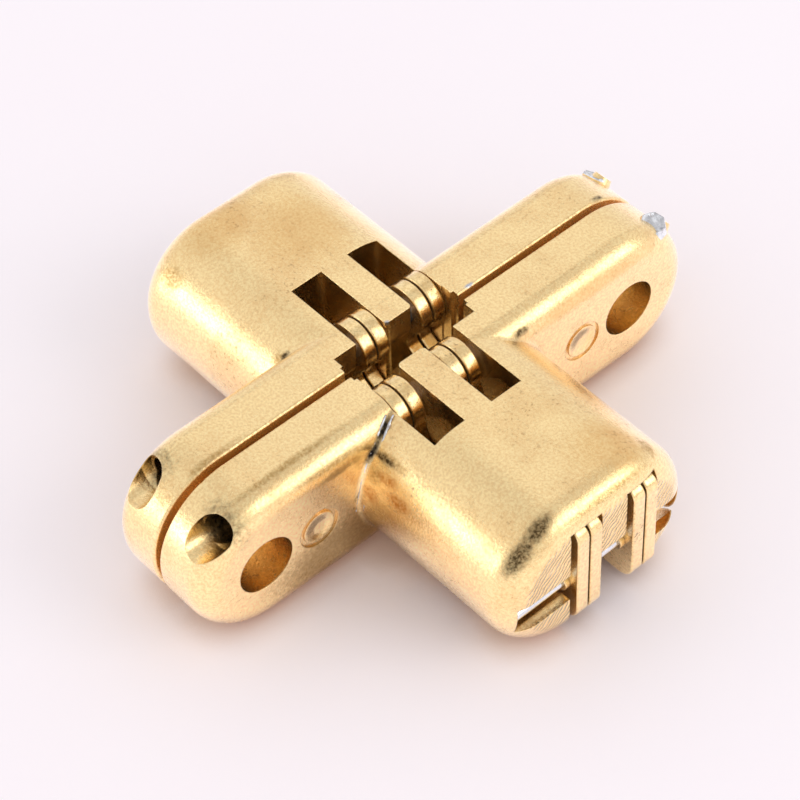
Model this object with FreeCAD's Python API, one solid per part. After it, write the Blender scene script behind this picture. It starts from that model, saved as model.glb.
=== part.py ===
import FreeCAD, Part
import math
import os

# Concealed cross-link door hinge, closed and lying on its side, in millimetres.
# X is the depth of the leaves: the plane X = 0 lies half way between the two closed leaves.
# Y runs along the length of the leaves and of every pin.
# Z is the thickness: the leaves part on the top side, +Z, when the hinge opens.

# Driving dimensions of the leaves
leaf_length = 45.0
leaf_height = 12.0
closed_gap = 0.5
ear_thickness = 4.6
ear_end_flat = 0.2
ear_rim_radius = 1.8
ear_front_radius = 0.22
ear_shift = 0.3
housing_width = 16.9
housing_depth = 19.15
housing_side_flat = 0.2
housing_rim_radius = 2.2
housing_shift = 0.2
junction_radius = 0.4

# Screw holes in the ears
screw_spacing = 33.6
screw_hole_radius = 2.25
screw_sink_radius = 3.4
screw_sink_depth = 1.2

# Marks that the mould leaves on the ears
ejector_spacing = 24.4
ejector_radius = 1.3
ejector_ring = 0.35
ejector_depth = 0.15
gate_offset = 2.7
gate_turn = 39.0
gate_width = 2.0
gate_height = 0.45

# Pivots, as places of the left links in the closed hinge
barrel_radius = 1.95
pivot_depth = 3.1
center_cover = 1.9
slide_inset = 1.2
slide_share = 0.25
opening_turn = 120.0

# Links
link_thickness = 1.04
link_gap = 0.14
link_edge_radius = 0.14
pair_inner = 0.28
pair_outer = 2.6
elbow_share = 0.55
elbow_radius = 0.7
spine_bulge = 1.5
spine_share = 1.075
neck_front = 5.2
neck_cover = 0.25
tail_front = 10.35
tail_shoulder_share = 0.075
neck_rise = 1.15
neck_radius = 0.9
tail_slant = 2.55
tail_proud = 0.2
tail_top_cover = 1.8
tail_foot_cover = 0.9
tail_corner = 1.0
tail_foot_radius = 1.3
floor_cover = 0.15

# Pins and their running clearance
pivot_pin_radius = 0.9
pivot_pin_outset = 9.0
pin_seat = 1.4
pin_bore_radius = 1.12
pin_mouth_radius = 1.35
pin_mouth_shift = 0.2
pin_mouth_depth = 3.9
pin_mouth_taper = 0.8
center_pin_radius = 0.75
slide_pin_radius = 0.45
slide_pin_inset = 1.25
slide_pin_rivet = 0.25
running_clearance = 0.05
spacer_radius = 0.7
spacer_length = 0.42

# Pockets of the housing
recess_half = 5.17
finger_front = 0.5
tongue_corner = 0.3
nose_wall = 0.55
nose_flat = 0.6
slot_depth = 8.4
web_depth = 9.6
slot_side = 0.45
slot_near = 0.05
ceiling_cover = 1.6
ceiling_start = 6.3
side_clearance = 0.12
track_height = 1.7
track_side_clearance = 0.3
mouth_rise = 1.83
mouth_drop = 0.74
mouth_depth = 1.9
channel_spare = 0.5

# Values that follow from the ones above
half_height = leaf_height / 2
half_length = leaf_length / 2
face = closed_gap / 2
ear_back = face + ear_thickness
ear_end_radius = (leaf_height - ear_end_flat) / 2
housing_back = face + housing_depth
housing_side_radius = (leaf_height - housing_side_flat) / 2
slide_pin_long = housing_width / 2 - slide_pin_inset
pair_width = 2 * link_thickness + link_gap
last_pair_end = pair_outer + pair_width
pivot_height = half_height - barrel_radius
center_height = center_cover - half_height
slide_depth = housing_back - slide_inset
slide_height = -slide_share * half_height
nose_radius = pivot_pin_radius + nose_wall
nose_front = pivot_depth - nose_radius
ceiling_height = half_height - ceiling_cover
neck_top = center_height - neck_cover
link_floor = floor_cover - half_height
tail_back = housing_back + tail_proud
tail_top = half_height - tail_top_cover
tail_bottom = tail_foot_cover - half_height
reach = 2.0

LEFT = -1
RIGHT = 1


def vec(x, y, z):
    return FreeCAD.Vector(x, y, z)


def box(x0, x1, y0, y1, z0, z1):
    return Part.makeBox(x1 - x0, y1 - y0, z1 - z0, vec(x0, y0, z0))


def rod(radius, x, z, y0, y1):
    """A round bar along Y."""
    return Part.makeCylinder(radius, y1 - y0, vec(x, y0, z), vec(0, 1, 0))


def rounded_wire(corners):
    """A closed outline of straight runs; each corner is (point, radius of its arc)."""
    count = len(corners)
    edges = []
    ends = []
    for index in range(count):
        here, radius = corners[index]
        before = corners[index - 1][0]
        after = corners[(index + 1) % count][0]
        into = (before - here).normalize()
        out = (after - here).normalize()
        if radius <= 0:
            ends.append((here, here))
            continue
        half_angle = into.getAngle(out) / 2
        setback = radius / math.tan(half_angle)
        first = here + into * setback
        last = here + out * setback
        middle_way = (into + out).normalize()
        center = here + middle_way * (radius / math.sin(half_angle))
        top = center - middle_way * radius
        edges.append(Part.Arc(first, top, last).toShape())
        ends.append((first, last))
    for index in range(count):
        start = ends[index][1]
        end = ends[(index + 1) % count][0]
        if (end - start).Length > 1e-6:
            edges.append(Part.makeLine(start, end))
    return Part.Wire(Part.__sortEdges__(edges))


def slab(corners, y0, y1):
    """The outline of corners (x, z, radius), extruded along Y."""
    wire = rounded_wire([(vec(x, y0, z), radius) for x, z, radius in corners])
    return Part.Face(wire).extrude(vec(0, y1 - y0, 0))


def rounded_bar(half_width, middle, radius, x0, x1, rim):
    """A bar along X with a rounded oblong section and a rounded rim at x1."""
    corners = []
    for y, z in ((-half_width, -half_height), (half_width, -half_height),
                 (half_width, half_height), (-half_width, half_height)):
        corners.append((vec(x0, middle + y, z), radius))
    bar = Part.Face(rounded_wire(corners)).extrude(vec(x1 - x0, 0, 0))
    return bar.makeFillet(rim, edges_at(bar, x1))


def edges_at(shape, x):
    """The edges that lie in the plane of that depth."""
    found = []
    for edge in shape.Edges:
        limits = edge.BoundBox
        if abs(limits.XMin - x) < 0.01 and abs(limits.XMax - x) < 0.01:
            found.append(edge)
    return found


def turned(point, center, degrees):
    """A point (x, z) turned about another in the plane of the links, X towards Z."""
    angle = math.radians(degrees)
    dx = point[0] - center[0]
    dz = point[1] - center[1]
    x = center[0] + dx * math.cos(angle) - dz * math.sin(angle)
    z = center[1] + dx * math.sin(angle) + dz * math.cos(angle)
    return x, z


def slide_place(share):
    """Where the slide pin of the left links stands in the right leaf, part way open."""
    pivot = (-pivot_depth, pivot_height)
    turn = opening_turn * share
    center = turned((0, center_height), pivot, turn)
    slide = turned((slide_depth, slide_height), pivot, turn)
    mirror = math.radians(90 + 90 * share)
    dx = pivot[0] - center[0]
    dz = pivot[1] - center[1]
    along = 2 * (dx * math.cos(mirror) + dz * math.sin(mirror))
    other_x = center[0] + along * math.cos(mirror) - dx
    other_z = center[1] + along * math.sin(mirror) - dz
    moved = turned(slide, (other_x, other_z), -180 * share)
    return moved[0] - other_x + pivot_depth, moved[1] - other_z + pivot_height


def pair_starts(side):
    """The lower Y of each of a leaf's two pairs of links."""
    starts = (-pair_inner - pair_width, pair_outer)
    if side == LEFT:
        return starts
    return tuple(sorted(-start - pair_width for start in starts))


def slot_ranges(side):
    """A leaf's slots for its own links, wider on the side away from the pin ends."""
    low_side = slot_side if side == LEFT else slot_near
    high_side = slot_near if side == LEFT else slot_side
    return [(start - low_side, start + pair_width + high_side) for start in pair_starts(side)]


def channel_ranges(side):
    """The channels of a leaf for the tails of the other leaf's links."""
    ranges = []
    for start in pair_starts(-side):
        ranges.append((start - side_clearance, start + pair_width + side_clearance))
    return ranges


def channel_section():
    """Side view of the space for the other links: under the pivot nose and the ceiling."""
    nose_bottom = pivot_height - nose_radius
    low = -half_height - reach
    high = half_height + reach
    back = housing_back + reach
    slant = nose_radius * math.sqrt(0.5)
    start = vec(nose_front, 0, pivot_height)
    middle = vec(pivot_depth - slant, 0, pivot_height - slant)
    bottom = vec(pivot_depth, 0, nose_bottom)
    points = [bottom, vec(pivot_depth + nose_flat, 0, nose_bottom),
              vec(ceiling_start, 0, ceiling_height), vec(back, 0, ceiling_height),
              vec(back, 0, low), vec(-reach, 0, low), vec(-reach, 0, high),
              vec(nose_front, 0, high), start]
    edges = [Part.Arc(start, middle, bottom).toShape()]
    for first, last in zip(points, points[1:]):
        edges.append(Part.makeLine(first, last))
    return Part.Face(Part.Wire(edges))


def extruded(section, y0, y1):
    shifted = section.copy()
    shifted.translate(vec(0, y0, 0))
    return shifted.extrude(vec(0, y1 - y0, 0))


def slide_track():
    """The bent track of the slide pin, open through the back wall."""
    places = [slide_place(share) for share in (0.0, 0.2, 0.45, 0.7, 1.0)]
    half = track_height / 2
    sides = []
    for sign in (1, -1):
        line = []
        for index, (x, z) in enumerate(places):
            before = places[max(index - 1, 0)]
            after = places[min(index + 1, len(places) - 1)]
            run = math.hypot(after[0] - before[0], after[1] - before[1])
            across_x = -(after[1] - before[1]) / run
            across_z = (after[0] - before[0]) / run
            line.append(vec(x + sign * half * across_x, 0, z + sign * half * across_z))
        sides.append(line)
    upper = Part.BSplineCurve()
    upper.interpolate(sides[0])
    lower = Part.BSplineCurve()
    lower.interpolate(sides[1])
    edges = [upper.toShape(), Part.makeLine(sides[0][-1], sides[1][-1]),
             lower.toShape(), Part.makeLine(sides[1][0], sides[0][0])]
    section = Part.Face(Part.Wire(Part.__sortEdges__(edges)))
    half_width = slide_pin_long + track_side_clearance
    track = extruded(section, -half_width, half_width)
    end_x, end_z = places[-1]
    track = track.fuse(rod(half, end_x, end_z, -half_width, half_width))
    mouth = box(housing_back - mouth_depth, housing_back + reach, -half_width, half_width,
                slide_height - mouth_drop, slide_height + mouth_rise)
    return track.fuse(mouth)


def screw_hole(y):
    drill = Part.makeCylinder(screw_hole_radius, ear_thickness + reach, vec(0, y, 0), vec(1, 0, 0))
    sink = Part.makeCone(screw_sink_radius, screw_hole_radius, screw_sink_depth,
                         vec(face, y, 0), vec(1, 0, 0))
    lead = Part.makeCylinder(screw_sink_radius, face, vec(0, y, 0), vec(1, 0, 0))
    return drill.fuse([sink, lead])


def pin_bore():
    """The blind bore of the pivot pin, wider outside the pin, with a scooped mouth."""
    outside = -half_length - reach
    seat = rod(pivot_pin_radius, pivot_depth, pivot_height, outside, last_pair_end + pin_seat)
    lead = rod(pin_bore_radius, pivot_depth, pivot_height, outside, -pivot_pin_outset)
    end = pin_mouth_depth - half_length
    x = pivot_depth + pin_mouth_shift
    z = pivot_height + pin_mouth_shift
    mouth = rod(pin_mouth_radius, x, z, outside, end - pin_mouth_taper)
    taper = Part.makeCone(pin_mouth_radius, pin_bore_radius, pin_mouth_taper,
                          vec(x, end - pin_mouth_taper, z), vec(0, 1, 0))
    return seat.fuse([lead, mouth, taper])


def ejector_mark(y):
    """A shallow ring round the flat disc where an ejector pin pushed the casting out."""
    low = vec(ear_back - ejector_depth, y, 0)
    outer = Part.makeCylinder(ejector_radius + ejector_ring, ejector_depth + reach, low,
                              vec(1, 0, 0))
    inner = Part.makeCylinder(ejector_radius, ejector_depth + 2 * reach, low - vec(reach, 0, 0),
                              vec(1, 0, 0))
    return outer.cut(inner)


def gate_stub():
    """The broken stub of the casting gate on the other rounded end."""
    angle = math.radians(gate_turn)
    outward = vec(0, math.cos(angle), math.sin(angle))
    center = vec(face + gate_offset, ear_shift + half_length - ear_end_radius,
                 half_height - ear_end_radius)
    root = center + outward * (ear_end_radius - gate_height)
    return Part.makeCone(gate_width / 2, gate_width / 3, 2 * gate_height, root, outward)


def junction_edges(body):
    """The edges where the housing springs from the backs of the ears."""
    edges = []
    for edge in edges_at(body, ear_back):
        limits = edge.BoundBox
        if limits.YLength < housing_width / 2 and abs(limits.Center.y) > 1:
            edges.append(edge)
    return edges


def casting():
    """The outer form of a leaf: two ears in one bar, and the housing behind them."""
    ear = rounded_bar(half_length, ear_shift, ear_end_radius, face, ear_back, ear_rim_radius)
    ear = ear.makeFillet(ear_front_radius, edges_at(ear, face))
    housing = rounded_bar(housing_width / 2, -housing_shift, housing_side_radius,
                          face + ear_thickness / 2, housing_back, housing_rim_radius)
    body = ear.fuse(housing).removeSplitter()
    body = body.makeFillet(junction_radius, junction_edges(body))
    return body.fuse(gate_stub())


def corner_round(y, way):
    """What is cut off to round an upright front corner of the tongue between the slots."""
    low = -half_height - reach
    high = half_height + reach
    y0, y1 = sorted((y, y + way * tongue_corner))
    block = box(nose_front, nose_front + tongue_corner, y0, y1, low, high)
    post = Part.makeCylinder(tongue_corner, high - low,
                             vec(nose_front + tongue_corner, y + way * tongue_corner, low))
    return block.cut(post)


def link_space(side):
    """All that is cut from a leaf for the links: recess, slots, channels and track."""
    high = half_height + reach
    out = housing_back + reach
    cuts = [box(-reach, face + finger_front, -recess_half, recess_half, -high, high)]
    outer = last_pair_end + side_clearance
    cuts.append(box(-reach, nose_front, -outer, outer, -high, high))
    for y0, y1 in slot_ranges(side):
        cuts.append(box(-reach, slot_depth, y0, y1, -high, high))
    cuts.append(corner_round(slot_ranges(side)[0][1], 1))
    cuts.append(corner_round(slot_ranges(side)[1][0], -1))
    section = channel_section()
    for y0, y1 in channel_ranges(side):
        cuts.append(extruded(section, y0, y1))
    low_side = channel_spare if side == RIGHT else side_clearance
    high_side = side_clearance if side == RIGHT else channel_spare
    starts = pair_starts(-side)
    for start in starts:
        cuts.append(box(slot_depth, out, start - low_side, start + pair_width + high_side, -high,
                        ceiling_height))
    cuts.append(box(web_depth, out, starts[0] + pair_width / 2, starts[1] + pair_width / 2, -high,
                    slide_height))
    cuts.append(slide_track())
    return cuts


def leaf(side):
    """One casting with the spaces for the links, the screws and the pivot pin."""
    cuts = link_space(side)
    cuts.append(pin_bore())
    for sign in (-1, 1):
        cuts.append(screw_hole(sign * screw_spacing / 2))
        cuts.append(ejector_mark(sign * ejector_spacing / 2))
    body = casting().cut(cuts)
    if side == LEFT:
        body = body.mirror(vec(0, 0, 0), vec(1, 0, 0))
    return body


def link(side):
    """One flat link of a leaf: barrel, spine, foot, neck and tall tail.

    It turns on the pivot pin. The slide pin is riveted in it, and the center pin in the
    left links only, so the right links turn on that one too.
    """
    px, pz = -pivot_depth, pivot_height
    spine = px - barrel_radius
    h = half_height
    corners = [
        (px - barrel_radius * 0.1, pz - barrel_radius * 0.3, 0),
        (px + barrel_radius * 0.46, pz - barrel_radius * 0.67, 0),
        (px, pz - elbow_share * h, elbow_radius), (neck_front, neck_top, elbow_radius),
        (tail_front - neck_rise, neck_top, neck_radius),
        (tail_front, neck_top + neck_rise, neck_radius),
        (tail_front, tail_shoulder_share * h, h / 3),
        (tail_front + tail_slant, tail_top, tail_corner),
        (tail_back, tail_top, tail_corner), (tail_back, tail_bottom, tail_foot_radius),
        (tail_back - h / 2, tail_bottom, h / 2), (tail_front + h / 10, link_floor, h * 0.6),
        (spine, link_floor, h * 0.6), (spine - spine_bulge, pz - spine_share * h, h / 2),
        (spine + 0.1, pz - barrel_radius * 0.3, 0),
    ]
    body = slab(corners, 0, link_thickness)
    barrel = rod(barrel_radius, px, pz, 0, link_thickness)
    body = body.fuse(barrel).removeSplitter()
    body = body.makeFillet(link_edge_radius, [e for e in body.Edges if e.BoundBox.YLength < 0.01])
    center_clearance = 0 if side == LEFT else running_clearance
    holes = [
        rod(pivot_pin_radius + running_clearance, px, pz, 0, link_thickness),
        rod(center_pin_radius + center_clearance, 0, center_height, 0, link_thickness),
        rod(slide_pin_radius, slide_depth, slide_height, 0, link_thickness),
    ]
    body = body.cut(holes)
    if side == RIGHT:
        body = body.mirror(vec(0, 0, 0), vec(1, 0, 0))
    return body


def link_starts(side):
    starts = []
    for start in pair_starts(side):
        starts.append(start)
        starts.append(start + link_thickness + link_gap)
    return starts


def pivot_pin(side):
    return rod(pivot_pin_radius, side * pivot_depth, pivot_height, -pivot_pin_outset,
               last_pair_end + pin_seat)


def center_pin():
    return rod(center_pin_radius, 0, center_height, -last_pair_end, last_pair_end)


def slide_pin(side):
    """The pin in a leaf's track, riveted in the tails of the other leaf's links."""
    low = slide_pin_long
    high = last_pair_end + slide_pin_rivet
    if side == LEFT:
        low, high = high, low
    return rod(slide_pin_radius, side * slide_depth, slide_height, -low, high)


def spacer(side, start):
    """A sleeve on the slide pin that keeps a pair of tails to one side of its channel."""
    y0 = start - spacer_length if side == RIGHT else start + pair_width
    x = side * slide_depth
    sleeve = rod(spacer_radius, x, slide_height, y0, y0 + spacer_length)
    hole = rod(slide_pin_radius, x, slide_height, y0, y0 + spacer_length)
    return sleeve.cut(hole)


def build():
    nodes = {}
    for side, word in ((LEFT, "left"), (RIGHT, "right")):
        nodes["leaf_" + word] = leaf(side)
        nodes["pivot_pin_" + word] = pivot_pin(side)
        nodes["slide_pin_" + word] = slide_pin(side)
        plate = link(side)
        for number, start in enumerate(link_starts(side), 1):
            nodes["link_%s_%d" % (word, number)] = plate.translated(vec(0, start, 0))
        for number, start in enumerate(pair_starts(-side), 1):
            nodes["spacer_%s_%d" % (word, number)] = spacer(side, start)
    nodes["center_pin"] = center_pin()
    return nodes


os.makedirs("parts", exist_ok=True)
for name, shape in build().items():
    lifted = shape.copy()
    lifted.translate(vec(0, -ear_shift, half_height))
    lifted.exportStep("parts/%s.step" % name)
    print(name, "solids", len(lifted.Solids), "valid", lifted.isValid(),
          "volume %.2f" % lifted.Volume)
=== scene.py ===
# %% [markdown]
# A small concealed door hinge, plated pale gold, lies closed on a white table.
# First the imported model is loaded.

# %% load the frame
import bpy
import math
from mathutils import Matrix, Vector


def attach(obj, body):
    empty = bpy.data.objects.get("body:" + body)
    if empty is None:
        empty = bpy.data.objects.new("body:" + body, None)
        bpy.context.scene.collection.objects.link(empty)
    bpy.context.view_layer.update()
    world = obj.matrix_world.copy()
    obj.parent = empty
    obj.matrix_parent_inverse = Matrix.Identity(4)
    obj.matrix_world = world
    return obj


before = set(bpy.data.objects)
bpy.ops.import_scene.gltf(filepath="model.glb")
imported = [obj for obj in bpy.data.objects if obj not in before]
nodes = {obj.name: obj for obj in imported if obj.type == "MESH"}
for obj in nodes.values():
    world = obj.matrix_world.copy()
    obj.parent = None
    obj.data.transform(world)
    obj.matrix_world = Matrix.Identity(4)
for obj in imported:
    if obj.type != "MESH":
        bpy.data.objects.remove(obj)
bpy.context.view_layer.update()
MM = 0.001
MID_HEIGHT = 6.0

# %% [markdown]
# The materials are built from nodes. One helper adds a node with its settings and links,
# and one turns a screen colour into a linear one.

# %% helpers for colours and nodes
SMOOTH = {"interpolation_type": "SMOOTHSTEP"}


def linear(hex_colour):
    values = [int(hex_colour[i:i + 2], 16) / 255 for i in (1, 3, 5)]
    curve = [v / 12.92 if v <= 0.04045 else ((v + 0.055) / 1.055) ** 2.4 for v in values]
    return (*curve, 1.0)


def add(tree, kind, inputs=None, out=0, **settings):
    """Adds a node and gives one of its outputs. An input takes a value or another output."""
    node = tree.nodes.new("ShaderNode" + kind)
    for name, value in settings.items():
        setattr(node, name, value)
    for key, value in (inputs or {}).items():
        if isinstance(value, bpy.types.NodeSocket):
            tree.links.new(value, node.inputs[key])
        else:
            node.inputs[key].default_value = value
    return node.outputs[out] if node.outputs else node


def new_material(name):
    material = bpy.data.materials.new(name)
    material.use_nodes = True
    tree = material.node_tree
    tree.nodes.clear()
    return material, tree


print("pale gold in linear light is", [round(v, 3) for v in linear("#FBDA98")[:3]])

# %% [markdown]
# Every finish here is some lumpy pattern of a known size, or a tone laid over the metal
# where a mask says so. So these two effects are written once.

# %% lumps and overlays
def lumps(tree, place, size_mm, detail=3.0, rough=0.55):
    """Noise whose lumps are about size_mm across, in a place given in metres."""
    scale = (1 / (size_mm * MM),) * 3
    at = add(tree, "Mapping", {"Vector": place, "Scale": scale})
    return add(tree, "TexNoise", {"Vector": at, "Scale": 1.0, "Detail": detail,
                                  "Roughness": rough})


def laid_over(tree, colour, mask, share, tone):
    """The colour, with a tone over it where the mask is 1, as thick as the share says."""
    thick = add(tree, "Math", {0: mask, 1: share}, operation="MULTIPLY")
    return add(tree, "Mix", {0: thick, 6: colour, 7: linear(tone)}, 2, data_type="RGBA")


print("two effects ready")

# %% [markdown]
# Wear sits at certain places of the real hinge: grime on the corners, bare zinc where metal was
# torn off. Painted shade is laid in the same way, low on the sides, in the corner by the ear,
# in a crack and deep in the pin bores. Each mark is a ragged blot, an ellipsoid in millimetres
# whose edge is broken up by noise, so no image is needed and the mark stays on the piece. Each
# kind has a tone, how much of the plating it hides, and how unbroken it is.

# %% ragged blots
# Three kinds here are painted shade, not wear: darker low sides, a speckled amber shade in the
# corner by the ear, and black in a crack and deep in the pin bores.
WEAR_AND_SHADE = {"haze": ("#D6A26C", 0.35, 0.70), "painted_shade": ("#967A4E", 0.85, 0.85),
        "smear": ("#8A6124", 0.60, 0.45), "painted_amber_shade": ("#B9721F", 0.80, 0.40),
        "grime": ("#37260C", 0.95, 0.65), "painted_black_shade": ("#120B04", 1.00, 1.00),
        "bare": ("#B9BEC8", 0.95, 1.00)}
WOBBLE_MM = 0.35
CRUMB_MM = 0.24
STREAK_REACH = 0.7


def streak(start, end, radius):
    """A long mark from one point to another, as a turned ellipsoid."""
    along = Vector(end) - Vector(start)
    middle = (Vector(start) + Vector(end)) / 2
    turn = along.to_track_quat("X", "Z").to_euler()
    return middle, (along.length * STREAK_REACH, radius, radius), turn


def blots(tree, place, marks, crumb=1.0, ragged=0.9):
    """1 inside any of the marks (centre, radii in mm, turn), 0 outside, with a ragged edge."""
    wobble = add(tree, "Math", {0: lumps(tree, place, WOBBLE_MM, 4.0, 0.7), 1: ragged},
                 operation="MULTIPLY")
    total = 0.0
    for centre, radii, *turn in marks:
        at = add(tree, "Mapping", {"Vector": place, "Location": Vector(centre) * MM,
                                   "Rotation": turn[0] if turn else (0.0, 0.0, 0.0),
                                   "Scale": Vector(radii) * MM}, vector_type="TEXTURE")
        away = add(tree, "VectorMath", {0: at}, "Value", operation="LENGTH")
        away = add(tree, "Math", {0: away, 1: wobble}, operation="ADD")
        inside = add(tree, "MapRange", {0: away, 1: 0.3 + ragged / 2, 2: 1.1 + ragged / 2,
                                        3: 1.0, 4: 0.0}, **SMOOTH)
        total = add(tree, "Math", {0: total, 1: inside}, operation="MAXIMUM")
    crumbs = add(tree, "MapRange", {0: lumps(tree, place, CRUMB_MM, 4.0, 0.75), 1: 0.40,
                                    2: 0.58, 3: crumb, 4: 1.0}, **SMOOTH)
    return add(tree, "Math", {0: total, 1: crumbs}, operation="MULTIPLY")


def worn(tree, place, skin, wear_and_shade):
    """Lays each kind of mark over the skin, worn places and painted shade alike. They are
    rougher and duller.
    """
    for kind, marks in wear_and_shade.items():
        tone, share, crumb = WEAR_AND_SHADE[kind]
        spot = blots(tree, place, marks, crumb)
        skin["colour"] = laid_over(tree, skin["colour"], spot, share, tone)
        skin["rough"] = add(tree, "Math", {0: spot, 1: 0.12, 2: skin["rough"]},
                            operation="MULTIPLY_ADD")
        skin["bald"] = add(tree, "Math", {0: skin["bald"], 1: spot}, operation="MAXIMUM")


print(len(WEAR_AND_SHADE), "kinds of wear")

# %% [markdown]
# Two marks are cut into the metal. The ends of the leaves were milled, which left wavy tracks.
# The ejector pins of the mould left shallow round dishes. Both are bumps, laid one on another.

# %% milled ends and dishes
END_DEPTH = 19.3
TRACK_DEPTH = 0.05
DISH_DEPTH = 0.25
LINES_FROM = 11.2
LINES_FULL = 11.6
# Each line's distance from the middle and half width in mm, and how thick its pits lie.
PARTING_LINES = ((3.35, 0.16, 0.45), (0.34, 0.16, 0.60))


def distance_from_middle(tree, place):
    across = add(tree, "SeparateXYZ", {0: place}, "X")
    return add(tree, "Math", {0: across}, operation="ABSOLUTE")


def milled_end(tree, place, skin):
    """Wavy tracks on the flat ends of the two leaves only."""
    depth = distance_from_middle(tree, place)
    on_end = add(tree, "MapRange", {0: depth, 1: (END_DEPTH - 0.05) * MM,
                                    2: (END_DEPTH + 0.08) * MM}, **SMOOTH)
    at = add(tree, "Mapping", {"Vector": place, "Rotation": (0.7, 0.0, 0.0),
                               "Scale": (1 / MM,) * 3})
    tracks = add(tree, "TexWave", {"Vector": at, "Scale": 0.9, "Distortion": 6.0,
                                   "Detail": 2.0}, "Fac", bands_direction="Y")
    tracks = add(tree, "Math", {0: tracks, 1: on_end}, operation="MULTIPLY")
    skin["normal"] = add(tree, "Bump", {"Strength": 1.0, "Distance": TRACK_DEPTH * MM,
                                        "Height": tracks, "Normal": skin["normal"]})
    skin["colour"] = laid_over(tree, skin["colour"], tracks, 0.4, "#B79B70")


def dished(tree, place, skin, dishes):
    """Shallow round dishes, where the mould's ejector pins pressed."""
    bowl = blots(tree, place, dishes, ragged=0.0)
    skin["normal"] = add(tree, "Bump", {"Strength": 1.0, "Distance": DISH_DEPTH * MM,
                                        "Height": bowl, "Normal": skin["normal"]}, invert=True)


def pitted_lines(tree, place, speck, dull):
    """Adds pits along the mould's parting lines, which run along the upper side."""
    depth = distance_from_middle(tree, place)
    height = add(tree, "SeparateXYZ", {0: place}, "Z")
    high = add(tree, "MapRange", {0: height, 1: LINES_FROM * MM, 2: LINES_FULL * MM}, **SMOOTH)
    for centre_mm, half_mm, share in PARTING_LINES:
        pits = add(tree, "MapRange", {0: speck, 1: 0.40, 2: 0.60, 4: share}, **SMOOTH)
        away = add(tree, "Math", {0: depth, 1: centre_mm * MM}, operation="SUBTRACT")
        away = add(tree, "Math", {0: away}, operation="ABSOLUTE")
        near = add(tree, "MapRange", {0: away, 1: half_mm * 0.4 * MM, 2: half_mm * MM,
                                      3: high, 4: 0.0}, **SMOOTH)
        line = add(tree, "Math", {0: near, 1: pits}, operation="MULTIPLY")
        dull = add(tree, "Math", {0: dull, 1: line}, operation="MAXIMUM")
    return dull


print("parting lines at", [line[0] for line in PARTING_LINES], "mm from the middle")

# %% [markdown]
# The castings are zinc with a thin satin gold plating. The cast skin has a fine grain, a
# slower waviness, and dull brown specks where the plating is thin. Hollows get painted shade,
# tinted amber like light bounced between gold walls.
# A clear lacquer gives the smooth places a second, white shine. Sharp edges are worn soft, so
# the shading rounds them by a tenth of a millimetre.

# %% plated metal
WAVE_MM = 2.4
WAVE_HEIGHT = 0.06
SPECK_MM = 0.3
SPECK_BROWN = "#7A5424"
PATCH_MM = 5.0
GRAIN_HEIGHT = 0.026
HOLLOW_REACH = 1.4
EDGE_RADIUS = 0.12


def plated_metal(name, light, dark, hollow_shade, grain_mm, grain, base_rough, mottled, stained,
                 lacquer, wear_and_shade=None, dishes=(), cast=False):
    """A skin mottled from light to dark, with painted shade in its hollows, specked, worn and
    glossy.
    """
    material, tree = new_material(name)
    place = add(tree, "TexCoord", out="Object")
    fine = lumps(tree, place, grain_mm, 4.0, 0.65)
    slow = lumps(tree, place, WAVE_MM)
    speck = lumps(tree, place, SPECK_MM, 2.0, 0.6)
    dirty = add(tree, "MapRange", {0: lumps(tree, place, PATCH_MM, 5.0, 0.62), 1: 0.44,
                                   2: 0.68}, **SMOOTH)
    mottle = add(tree, "MapRange", {0: fine, 1: 0.36, 2: 0.66}, **SMOOTH)
    dull = add(tree, "MapRange", {0: speck, 1: 0.56, 2: 0.68, 4: dirty}, **SMOOTH)
    if cast:
        dull = pitted_lines(tree, place, speck, dull)
    hollow = add(tree, "AmbientOcclusion", {"Distance": HOLLOW_REACH * MM}, "AO", samples=6)
    hollow_shade_mask = add(tree, "MapRange", {0: hollow, 1: 0.2, 2: 0.85, 3: 1.0, 4: 0.0}, **SMOOTH)
    rough = add(tree, "MapRange", {0: slow, 1: 0.3, 2: 0.7, 3: base_rough - 0.05,
                                   4: base_rough + 0.08}, **SMOOTH)
    bald = add(tree, "Math", {0: dull, 1: 0.4}, operation="MULTIPLY")
    skin = {"colour": laid_over(tree, linear(light), mottle, mottled, dark), "bald": bald,
            "rough": add(tree, "Math", {0: dull, 1: 0.2, 2: rough}, operation="MULTIPLY_ADD"),
            "normal": add(tree, "Bevel", {"Radius": EDGE_RADIUS * MM}, samples=4)}
    skin["colour"] = laid_over(tree, skin["colour"], dirty, 0.35, dark)
    skin["colour"] = laid_over(tree, skin["colour"], dull, stained, SPECK_BROWN)
    # Painted shade: hollows found by occlusion are laid over with the finish's hollow colour.
    skin["colour"] = laid_over(tree, skin["colour"], hollow_shade_mask, 0.72, hollow_shade)
    worn(tree, place, skin, wear_and_shade or {})
    if dishes:
        dished(tree, place, skin, dishes)
    if cast:
        milled_end(tree, place, skin)
    waves = add(tree, "Bump", {"Strength": 0.3, "Distance": WAVE_HEIGHT * MM, "Height": slow,
                               "Normal": skin["normal"]})
    relief = add(tree, "Bump", {"Strength": grain, "Distance": GRAIN_HEIGHT * MM,
                                "Height": fine, "Normal": waves})
    coat = add(tree, "MapRange", {0: skin["bald"], 3: lacquer, 4: 0.1 * lacquer})
    metal = add(tree, "MapRange", {0: hollow_shade_mask, 1: 0.3, 2: 1.0, 3: 1.0, 4: 0.5})
    shader = add(tree, "BsdfPrincipled", {
        "Base Color": skin["colour"], "Metallic": metal, "Roughness": skin["rough"],
        "Normal": relief, "Coat Weight": coat, "Coat Roughness": 0.22, "Coat IOR": 1.7,
        "Coat Normal": relief})
    add(tree, "OutputMaterial", {"Surface": shader})
    return material


GOLD_LIGHT = "#FFE2A1"
GOLD_DARK = "#E0AD66"
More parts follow.
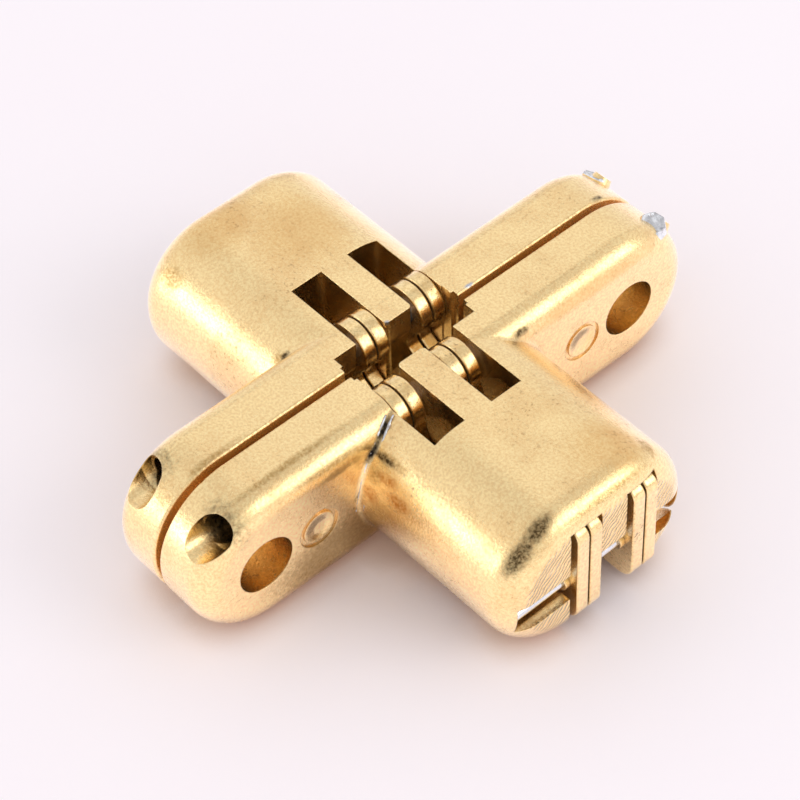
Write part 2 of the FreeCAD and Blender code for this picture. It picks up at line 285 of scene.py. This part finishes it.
# This amber is painted shade for the hollows of the castings.
HOLLOW_SHADE_AMBER = "#EFA72E"
CAST_SKIN = {"light": GOLD_LIGHT, "dark": GOLD_DARK, "hollow_shade": HOLLOW_SHADE_AMBER, "grain_mm": 0.2,
             "grain": 0.9, "base_rough": 0.21, "mottled": 0.52, "stained": 0.4,
             "lacquer": 1.0, "cast": True}
print("pale gold runs from", GOLD_LIGHT, "to", GOLD_DARK, "and in hollows to", HOLLOW_SHADE_AMBER)

# %% [markdown]
# The right leaf lies nearest. It has grime on the end corner, painted amber shade on the side
# under the ear, and painted shade low on the ear and the housing. A crack in the corner, where
# a fin of metal was snapped off, is painted black as shade, and so are the pin bores deep
# inside.

# %% finish of the right leaf
# The pin bores are painted black deep inside, as shade.
BORE_SHADE_RADII = (2.1, 1.6, 2.0)
BORE_SHADE_PLACE = (3.0, -18.7, 10.0)
DISH_RADII = (0.5, 1.2, 1.2)
DISH_PLACES = ((4.85, -12.5, 6.0), (4.85, 11.9, 6.0))
END_CORNER = [streak((18.0, -3.9, 11.8), (18.15, -6.3, 10.9), 0.75),
              streak((18.15, -5.6, 11.2), (18.1, -7.9, 9.3), 0.8)]
# The crack is painted black, as the shade inside it.
CRACK_SHADE = [streak((4.3, -5.5, 11.5), (4.9, -7.2, 10.5), 0.42),
         streak((4.8, -6.8, 10.75), (4.98, -8.3, 9.3), 0.36)]
right_wear_and_shade = {
    "haze": [((16.4, 3.4, 11.8), (3.2, 4.5, 1.0)), ((4.85, 12.0, 10.6), (0.9, 8.0, 0.9))],
    # Painted shade: the low back of the ear, a band high on the ear's back, and the low side of
    # the housing.
    "painted_shade": [((4.85, -11.0, 2.6), (0.6, 7.0, 3.6)), ((4.8, -10.6, 10.2), (0.4, 2.2, 0.5)),
                ((12.0, -8.8, 2.6), (10.0, 1.0, 3.2))],
    "smear": [((17.6, 5.3, 10.9), (1.1, 0.7, 0.7)), ((18.8, 0.5, 11.2), (0.35, 5.0, 0.35)),
              ((3.2, -13.5, 11.9), (0.4, 6.5, 0.3)), ((4.55, -11.0, 11.0), (0.3, 3.4, 0.35)),
              ((6.6, -7.4, 10.2), (2.0, 0.4, 0.5)), ((12.5, 6.4, 10.8), (5.0, 0.4, 0.5)),
              ((5.6, 7.4, 10.4), (1.0, 0.5, 0.8)), ((5.8, -8.3, 8.9), (0.9, 0.6, 1.2))],
    # Painted shade, speckled amber, on the housing's side in the corner by the ear.
    "painted_amber_shade": [((5.9, -8.8, 7.3), (0.9, 0.5, 0.9)), ((8.4, -8.5, 8.3), (1.4, 0.5, 0.8)),
              ((7.0, -8.2, 9.2), (1.2, 0.5, 0.6))],
    "grime": [*END_CORNER, ((4.6, 6.2, 11.05), (0.4, 1.0, 0.4)),
              ((5.9, -7.5, 10.0), (1.3, 0.35, 0.4))],
    # Painted shade: black in the crack and deep in the pin bore.
    "painted_black_shade": [*CRACK_SHADE, (BORE_SHADE_PLACE, BORE_SHADE_RADII)]}
right_dishes = [(place, DISH_RADII) for place in DISH_PLACES]
casting_right = plated_metal("gold-plated die-cast zinc, right leaf", **CAST_SKIN,
                             wear_and_shade=right_wear_and_shade, dishes=right_dishes)
print(sum(len(marks) for marks in right_wear_and_shade.values()), "marks on the right leaf")

# %% [markdown]
# The left leaf is cleaner. It has a smear at the far corner, and small bare places beside the
# links where the plating was knocked off.

# %% finish of the left leaf
left_wear_and_shade = {
    "haze": [((-12.6, 1.2, 12.0), (4.5, 5.0, 0.6)), ((-16.5, -3.0, 11.8), (3.0, 4.0, 1.0))],
    "smear": [((-16.6, -7.4, 10.0), (1.4, 0.9, 1.8)), ((-17.6, 0.5, 11.5), (0.7, 6.0, 0.5)),
              ((-0.6, -17.4, 11.9), (0.35, 4.5, 0.4)), ((-5.3, -7.0, 10.4), (0.8, 1.4, 0.5))],
    "grime": [((-5.0, -6.8, 10.7), (0.4, 0.7, 0.4)), ((-0.6, 18.2, 11.6), (0.3, 1.4, 0.3))],
    "bare": [((-1.7, -0.4, 11.9), (0.25, 0.3, 0.3)), ((-0.4, 6.0, 12.0), (0.2, 0.5, 0.2))],
    # Painted shade: black deep inside the pin bore.
    "painted_black_shade": [((-BORE_SHADE_PLACE[0], *BORE_SHADE_PLACE[1:]), BORE_SHADE_RADII)]}
left_dishes = [((-x, y, z), DISH_RADII) for x, y, z in DISH_PLACES]
casting_left = plated_metal("gold-plated die-cast zinc, left leaf", **CAST_SKIN,
                            wear_and_shade=left_wear_and_shade, dishes=left_dishes)
print(sum(len(marks) for marks in left_wear_and_shade.values()), "marks on the left leaf")

# %% [markdown]
# The links are pressed steel with the same plating, a little smoother. The pins are plain
# drawn wire. Torn zinc is bare and bright. Then each node gets its finish by its name.

# %% other finishes, and each node gets its own
# The third colour of each finish is painted shade for its hollows.
pressing = plated_metal("gold-plated pressed steel", GOLD_LIGHT, "#D9A85C", "#6B420E",
                        grain_mm=0.28, grain=0.6, base_rough=0.19, mottled=0.5, stained=0.8,
                        lacquer=1.0)
steel = plated_metal("bright drawn steel wire", "#E4E5E8", "#BDBEC2", "#8A8580",
                     grain_mm=0.15, grain=0.2, base_rough=0.16, mottled=0.4, stained=0.1,
                     lacquer=0.0)
torn_zinc = plated_metal("bare torn zinc", "#F2F4F8", "#86858A", "#77736E",
                         grain_mm=0.5, grain=0.5, base_rough=0.24, mottled=0.4, stained=0.5,
                         lacquer=0.0)
for name, node in nodes.items():
    if name.startswith("leaf"):
        finish = casting_right if name.endswith("right") else casting_left
    elif name.startswith("link") or name.startswith("spacer"):
        finish = pressing
    else:
        finish = steel
    node.data.materials.clear()
    node.data.materials.append(finish)
print("materials on", len(nodes), "nodes")

# %% [markdown]
# A new piece is modelled near its place and then finished in one way: its place and turn go
# into its mesh, it gets its finish, and it rides on the body it belongs to.

# %% how a piece is finished
def deselect():
    for thing in bpy.context.selected_objects:
        thing.select_set(False)


def rough_skin(piece, size_mm, height_mm):
    """Roughens a torn piece with a lumpy displacement, and makes it part of the mesh."""
    texture = bpy.data.textures.new(piece.name + " skin", "CLOUDS")
    texture.noise_scale = size_mm * MM
    texture.noise_depth = 3
    tear = piece.modifiers.new("torn", "DISPLACE")
    tear.texture = texture
    tear.strength = height_mm * MM
    bpy.context.view_layer.objects.active = piece
    bpy.ops.object.modifier_apply(modifier=tear.name)


def finished(piece, body, material):
    deselect()
    piece.select_set(True)
    bpy.context.view_layer.objects.active = piece
    bpy.ops.object.transform_apply(location=True, rotation=True, scale=True)
    piece.data.materials.clear()
    piece.data.materials.append(material)
    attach(piece, body)
    print(piece.name, len(piece.data.polygons), "faces")


print("ready to model")

# %% [markdown]
# Where the casting gate was broken off, each leaf keeps a torn chip of bare zinc on its far
# rounded end. It could be a plain bump, but the break is a flat facet with a raised lip. So
# the top of a short prism is drawn out, pulled to one side, tilted and cut in again. Its
# skirt stays plated.

# %% torn chips at the gates
CHIP_RADIUS = 1.15
CHIP_HEIGHT = 0.5
BARE_FROM = 0.22


def gate_chip(body, casting, centre_mm, outward, width):
    deselect()
    bpy.ops.mesh.primitive_cylinder_add(vertices=7, radius=CHIP_RADIUS * MM,
                                        depth=CHIP_HEIGHT * MM)
    chip = bpy.context.object
    chip.name = "gate_chip_" + body.split("_")[1]
    bpy.ops.object.mode_set(mode="EDIT")
    bpy.ops.mesh.select_mode(type="FACE")
    bpy.ops.mesh.select_all(action="DESELECT")
    bpy.ops.object.mode_set(mode="OBJECT")
    for face in chip.data.polygons:
        face.select = face.normal.z > 0.9
    bpy.ops.object.mode_set(mode="EDIT")
    bpy.ops.mesh.extrude_region_move(
        TRANSFORM_OT_translate={"value": (0.1 * MM, 0.2 * MM, 0.25 * MM)})
    bpy.ops.transform.resize(value=(0.85, 0.75, 1.0))
    bpy.ops.transform.rotate(value=math.radians(9), orient_axis="X")
    bpy.ops.mesh.inset(thickness=0.14 * MM)
    bpy.ops.transform.translate(value=(-0.05 * MM, 0.05 * MM, -0.12 * MM))
    bpy.ops.mesh.select_all(action="SELECT")
    bpy.ops.mesh.quads_convert_to_tris()
    bpy.ops.mesh.subdivide(number_cuts=1)
    bpy.ops.object.mode_set(mode="OBJECT")
    rough_skin(chip, 0.9, 0.35)
    chip.scale = (width, width, 1.0)
    chip.rotation_euler = outward.to_track_quat("Z", "Y").to_euler()
    chip.location = Vector(centre_mm) * MM
    finished(chip, body, torn_zinc)
    chip.data.materials.append(casting)
    for face in chip.data.polygons:
        above = (face.center - Vector(centre_mm) * MM).dot(outward.normalized())
        face.material_index = 0 if above > BARE_FROM * MM else 1


gate_chip("leaf_right", casting_right, (3.35, 20.1, 10.42), Vector((0.45, 0.05, 0.85)), 1.0)
gate_chip("leaf_left", casting_left, (-3.2, 20.75, 9.95), Vector((-0.15, 0.7, 0.7)), 0.85)

# %% [markdown]
# In the corner where the right housing springs from the ear, a thin fin of metal was snapped
# off. It left two bright ragged threads beside the crack. A curve is laid along the corner on
# each side, given a little thickness, turned to a mesh and roughened, and the two are joined.

# %% torn threads in the corner
CORNER_PATH = [(4.2, -5.45, 11.6), (4.68, -6.6, 11.1), (4.98, -7.7, 10.05), (5.0, -8.6, 8.2),
               (4.95, -9.1, 5.2)]
THREAD_WEIGHTS = (1.3, 2.2, 1.5, 0.7, 0.3)
THREAD_RADIUS = 0.06


def torn_thread(sideways_mm):
    deselect()
    bpy.ops.curve.primitive_nurbs_path_add(radius=1.0)
    thread = bpy.context.object
    spline = thread.data.splines[0]
    for point, place, weight in zip(spline.points, CORNER_PATH, THREAD_WEIGHTS):
        shifted = Vector(place) + Vector(sideways_mm)
        point.co = (*(shifted * MM), 1.0)
        point.radius = weight
    spline.use_endpoint_u = True
    spline.resolution_u = 16
    thread.data.bevel_depth = THREAD_RADIUS * MM
    thread.data.bevel_resolution = 2
    thread.data.use_fill_caps = True
    bpy.ops.object.convert(target="MESH")
    thread = bpy.context.object
    rough_skin(thread, 0.3, 0.16)
    return thread


threads = [torn_thread((0.02, -0.3, 0.0)), torn_thread((0.34, 0.08, 0.0))]
deselect()
for thread in threads:
    thread.select_set(True)
fin = threads[0]
fin.name = "corner_fin_right"
bpy.context.view_layer.objects.active = fin
bpy.ops.object.join()
finished(fin, "leaf_right", torn_zinc)

# %% [markdown]
# The table is a matt white floor that takes a soft shadow. Right at the metal a painted shadow
# darkens it further and tints it brown, like light bounced off the gold. What the metal mirrors
# of it glows a little, as a table in a bright tent does, with painted shade near the metal.

# %% table
TABLE_SIZE = 3.0
deselect()
bpy.ops.mesh.primitive_plane_add(size=TABLE_SIZE, location=(0, 0, 0))
floor = bpy.context.object
floor.name = "table_top"
material, tree = new_material("matt white table")
place = add(tree, "TexCoord", out="Object")
open_sky = add(tree, "AmbientOcclusion", {"Distance": 3 * MM}, "AO", samples=8)
# Painted shadow: where the metal closes in the sky, the table is darkened and browned.
shade = add(tree, "MapRange", {0: open_sky, 1: 0.2, 2: 0.9, 3: 1.0, 4: 0.0}, **SMOOTH)
tint = laid_over(tree, linear("#FFFAFF"), lumps(tree, place, 40.0), 1.0, "#FFF7FC")
tint = laid_over(tree, tint, shade, 0.55, "#B29078")
matt = add(tree, "BsdfDiffuse", {"Color": tint})
mirrored = add(tree, "LightPath", out="Is Glossy Ray")
shine = add(tree, "MapRange", {0: open_sky, 1: 0.5, 2: 1.0, 4: 0.28}, **SMOOTH)
shine = add(tree, "Math", {0: mirrored, 1: shine}, operation="MULTIPLY")
glow = add(tree, "Emission", {"Color": linear("#FFF8F8"), "Strength": shine})
both = add(tree, "AddShader", {0: matt, 1: glow})
add(tree, "OutputMaterial", {"Surface": both})
floor.data.materials.append(material)
print("table", floor.name)

# %% [markdown]
# The light is that of a white tent: an even bright world, a little darker overhead, with a
# low soft box to the left of the camera, one to its right and a weak one high behind the
# hinge. They put the long highlights on the rounded sides.

# %% world and lights
world = bpy.data.worlds.new("white tent")
bpy.context.scene.world = world
world.use_nodes = True
tree = world.node_tree
tree.nodes.clear()
way = add(tree, "TexCoord", out="Generated")
height = add(tree, "SeparateXYZ", {0: way}, "Z")
overhead = add(tree, "MapRange", {0: height, 1: 0.80, 2: 0.88}, **SMOOTH)
tent = laid_over(tree, linear("#F8F7F8"), overhead, 1.0, "#E2E1E2")
seen = add(tree, "LightPath", out="Is Camera Ray")
shown = laid_over(tree, tent, seen, 1.0, "#FCF5FA")
sky = add(tree, "Background", {"Color": shown, "Strength": 1.0})
add(tree, "OutputWorld", {"Surface": sky})
LAMP_AWAY = 0.6


def soft_box(name, azimuth, elevation, size, radiance):
    """A lamp seen from the hinge at that angle. Its power follows from its brightness."""
    turn, rise = math.radians(azimuth), math.radians(elevation)
    way = Vector((math.sin(turn) * math.cos(rise), -math.cos(turn) * math.cos(rise),
                  math.sin(rise)))
    data = bpy.data.lights.new(name, "AREA")
    data.shape = "RECTANGLE"
    data.size, data.size_y = size
    data.energy = radiance * math.pi * size[0] * size[1]
    lamp = bpy.data.objects.new(name, data)
    bpy.context.scene.collection.objects.link(lamp)
    lamp.location = Vector((0, 0, MID_HEIGHT * MM)) + way * LAMP_AWAY
    lamp.rotation_euler = way.to_track_quat("Z", "Y").to_euler()
    print(name, "at", [round(v, 2) for v in lamp.location])


soft_box("soft_box_left", -33, 9, (0.30, 0.20), 2.4)
soft_box("soft_box_right", 121, 33, (0.34, 0.36), 1.6)
soft_box("soft_box_over", -131, 52, (0.20, 0.20), 0.12)

# %% [markdown]
# The camera looks down on the closed hinge from one side, close, with a long lens.

# %% camera
LOOK_FROM = (50.16, 49.01)
ROLL = -2.61
AIM = (0, -0.3, MID_HEIGHT)
CAMERA_SHIFT = (-0.482, -0.479, 199.5)
SENSOR_MM = 36
LENS_MM = 129.42
azimuth, elevation = (math.radians(angle) for angle in LOOK_FROM)
back = Vector((math.sin(azimuth) * math.cos(elevation),
               -math.cos(azimuth) * math.cos(elevation), math.sin(elevation)))
right = Vector((0, 0, 1)).cross(back).normalized()
turned = Matrix.Rotation(math.radians(ROLL), 3, back)
across = turned @ right
upward = turned @ back.cross(right)
shift = across * CAMERA_SHIFT[0] + upward * CAMERA_SHIFT[1] + back * CAMERA_SHIFT[2]
camera = bpy.data.objects.new("camera", bpy.data.cameras.new("camera"))
bpy.context.scene.collection.objects.link(camera)
stand = (Vector(AIM) + shift) * MM
axes = Matrix((across, upward, back)).transposed().to_4x4()
camera.matrix_world = Matrix.Translation(stand) @ axes
camera.data.sensor_width = SENSOR_MM
camera.data.lens = LENS_MM
camera.data.clip_start = 0.01
bpy.context.scene.camera = camera
bpy.context.scene.view_settings.view_transform = "Standard"
print("camera at", [round(v, 4) for v in stand])
